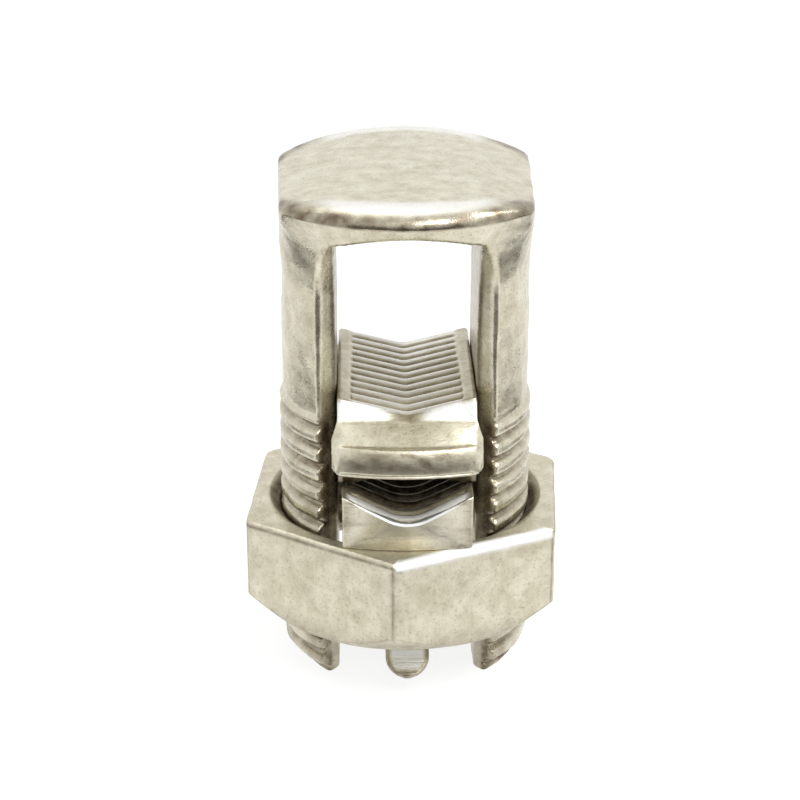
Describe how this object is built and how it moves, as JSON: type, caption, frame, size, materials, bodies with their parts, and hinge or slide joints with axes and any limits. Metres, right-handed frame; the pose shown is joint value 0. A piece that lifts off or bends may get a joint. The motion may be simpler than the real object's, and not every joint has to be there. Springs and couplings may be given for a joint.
{
  "type": "split bolt connector",
  "caption": "Split bolt connector: a slotted bolt with a hex nut, pressure bar and flanged spacer that clamp cables side by side.",
  "frame": {"origin": "on the bolt's axis, level with the free ends of the legs", "axes": "+Z along the bolt's axis towards the head; X across the slot, from leg to leg; Y along the clamped cables"},
  "size_m": [0.0282, 0.031, 0.0451],
  "materials": {
    "tinned_bolt": "satin",
    "tinned_spacer": "satin",
    "tinned_bar": "satin",
    "tinned_nut": "satin"
  },
  "bodies": {
    "split_bolt": {"split_bolt": "tinned_bolt"},
    "pressure_bar": {"pressure_bar": "tinned_bar"},
    "nut": {"nut": "tinned_nut"},
    "spacer": {"spacer": "tinned_spacer"}
  },
  "joints": [
    {"name": "bar_slide", "type": "slide", "parent": "split_bolt", "child": "pressure_bar", "axis": [0, 0, 1], "range_m": [-0.0056, 0.009]},
    {"name": "nut_spin", "type": "hinge", "parent": "pressure_bar", "child": "nut", "pos_m": [0, 0, 0.0102], "axis": [0, 0, 1], "range_deg": [-1111, 1786]},
    {"name": "spacer_lift", "type": "slide", "parent": "pressure_bar", "child": "spacer", "axis": [0, 0, 1], "range_m": [0, 0.0045]}
  ],
  "couplings": [
    {"joint": "bar_slide", "follows": "nut_spin", "m_per_rad": 0.0002887}
  ]
}
